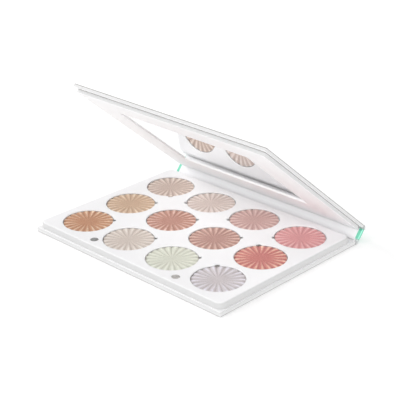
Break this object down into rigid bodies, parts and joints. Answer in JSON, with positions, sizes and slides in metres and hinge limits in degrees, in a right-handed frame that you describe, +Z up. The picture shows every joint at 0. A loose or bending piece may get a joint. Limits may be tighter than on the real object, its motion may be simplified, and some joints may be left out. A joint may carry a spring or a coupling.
{
  "type": "eyeshadow palette",
  "caption": "Book-style makeup palette: wrapped board tray with round lift-out pans of sunburst-pressed powder, a folding mint spine and a hinged lid holding a mirror.",
  "frame": {"origin": "middle of the well grid, on the underside of the base", "axes": "+X along the long edges to the right as seen by the user, +Y towards the hinge, +Z up out of the tray"},
  "size_m": [0.182, 0.1494, 0.1022],
  "materials": {
    "white_paper": "smooth matt coated wrapping paper",
    "mint_paper": "satin mint green spine paper",
    "greyboard": "plain grey bookbinding board",
    "magnet_sheet": "dark flexible magnetic sheet",
    "closure_magnet": "nickel-plated, finely brushed",
    "pan_metal": "satin tinplate",
    "mirror": "silvered glass",
    "mirror_pad": "white foam adhesive pad",
    "powder_a1": "pressed copper gold shimmer powder",
    "powder_a2": "pressed cream pearl shimmer powder",
    "powder_a3": "pressed pale green pearl shimmer powder",
    "powder_a4": "pressed lilac silver shimmer powder",
    "powder_b1": "pressed beige gold shimmer powder",
    "powder_b2": "pressed rose brown shimmer powder",
    "powder_b3": "pressed dusty rose shimmer powder",
    "powder_b4": "pressed coral with gold shimmer powder",
    "powder_c1": "pressed champagne shimmer powder",
    "powder_c2": "pressed pinkish white shimmer powder",
    "powder_c3": "pressed mauve pink shimmer powder",
    "powder_c4": "pressed soft pink shimmer powder"
  },
  "bodies": {
    "base": {"base_board": "greyboard", "base_wrap": "white_paper", "base_liner": "white_paper", "magnet_sheet": "magnet_sheet", "tray_board": "greyboard", "tray_wrap": "white_paper", "tray_magnet_left": "closure_magnet", "tray_magnet_right": "closure_magnet", "lower_crease_wrap": "white_paper", "lower_crease_liner": "white_paper"},
    "spine": {"spine_board": "greyboard", "spine_wrap": "mint_paper", "spine_liner": "white_paper", "upper_crease_wrap": "white_paper", "upper_crease_liner": "white_paper"},
    "lid": {"lid_board": "greyboard", "lid_wrap": "white_paper", "lid_liner": "white_paper", "frame_board": "greyboard", "frame_wrap": "white_paper", "mirror_pad": "mirror_pad", "mirror_glass": "mirror", "lid_magnet_left": "closure_magnet", "lid_magnet_right": "closure_magnet"},
    "shade_a1": {"pan_a1": "pan_metal", "powder_a1": "powder_a1"},
    "shade_a2": {"pan_a2": "pan_metal", "powder_a2": "powder_a2"},
    "shade_a3": {"pan_a3": "pan_metal", "powder_a3": "powder_a3"},
    "shade_a4": {"pan_a4": "pan_metal", "powder_a4": "powder_a4"},
    "shade_b1": {"pan_b1": "pan_metal", "powder_b1": "powder_b1"},
    "shade_b2": {"pan_b2": "pan_metal", "powder_b2": "powder_b2"},
    "shade_b3": {"pan_b3": "pan_metal", "powder_b3": "powder_b3"},
    "shade_b4": {"pan_b4": "pan_metal", "powder_b4": "powder_b4"},
    "shade_c1": {"pan_c1": "pan_metal", "powder_c1": "powder_c1"},
    "shade_c2": {"pan_c2": "pan_metal", "powder_c2": "powder_c2"},
    "shade_c3": {"pan_c3": "pan_metal", "powder_c3": "powder_c3"},
    "shade_c4": {"pan_c4": "pan_metal", "powder_c4": "powder_c4"}
  },
  "joints": [
    {"name": "spine_fold", "type": "hinge", "parent": "base", "child": "spine", "pos_m": [0, 0.0736, 0.00015], "axis": [-1, 0, 0], "range_deg": [-40.4, 49.6], "deforming": ["lower_crease_wrap", "lower_crease_liner"]},
    {"name": "lid_fold", "type": "hinge", "parent": "spine", "child": "lid", "pos_m": [0, 0.08228, 0.01035], "axis": [-1, 0, 0], "range_deg": [0, 90], "deforming": ["upper_crease_wrap", "upper_crease_liner"]},
    {"name": "lift_a1", "type": "slide", "parent": "base", "child": "shade_a1", "axis": [0, 0, 1], "range_m": [0, 0.007]},
    {"name": "lift_a2", "type": "slide", "parent": "base", "child": "shade_a2", "axis": [0, 0, 1], "range_m": [0, 0.007]},
    {"name": "lift_a3", "type": "slide", "parent": "base", "child": "shade_a3", "axis": [0, 0, 1], "range_m": [0, 0.007]},
    {"name": "lift_a4", "type": "slide", "parent": "base", "child": "shade_a4", "axis": [0, 0, 1], "range_m": [0, 0.007]},
    {"name": "lift_b1", "type": "slide", "parent": "base", "child": "shade_b1", "axis": [0, 0, 1], "range_m": [0, 0.007]},
    {"name": "lift_b2", "type": "slide", "parent": "base", "child": "shade_b2", "axis": [0, 0, 1], "range_m": [0, 0.007]},
    {"name": "lift_b3", "type": "slide", "parent": "base", "child": "shade_b3", "axis": [0, 0, 1], "range_m": [0, 0.007]},
    {"name": "lift_b4", "type": "slide", "parent": "base", "child": "shade_b4", "axis": [0, 0, 1], "range_m": [0, 0.007]},
    {"name": "lift_c1", "type": "slide", "parent": "base", "child": "shade_c1", "axis": [0, 0, 1], "range_m": [0, 0.007]},
    {"name": "lift_c2", "type": "slide", "parent": "base", "child": "shade_c2", "axis": [0, 0, 1], "range_m": [0, 0.007]},
    {"name": "lift_c3", "type": "slide", "parent": "base", "child": "shade_c3", "axis": [0, 0, 1], "range_m": [0, 0.007]},
    {"name": "lift_c4", "type": "slide", "parent": "base", "child": "shade_c4", "axis": [0, 0, 1], "range_m": [0, 0.007]}
  ]
}
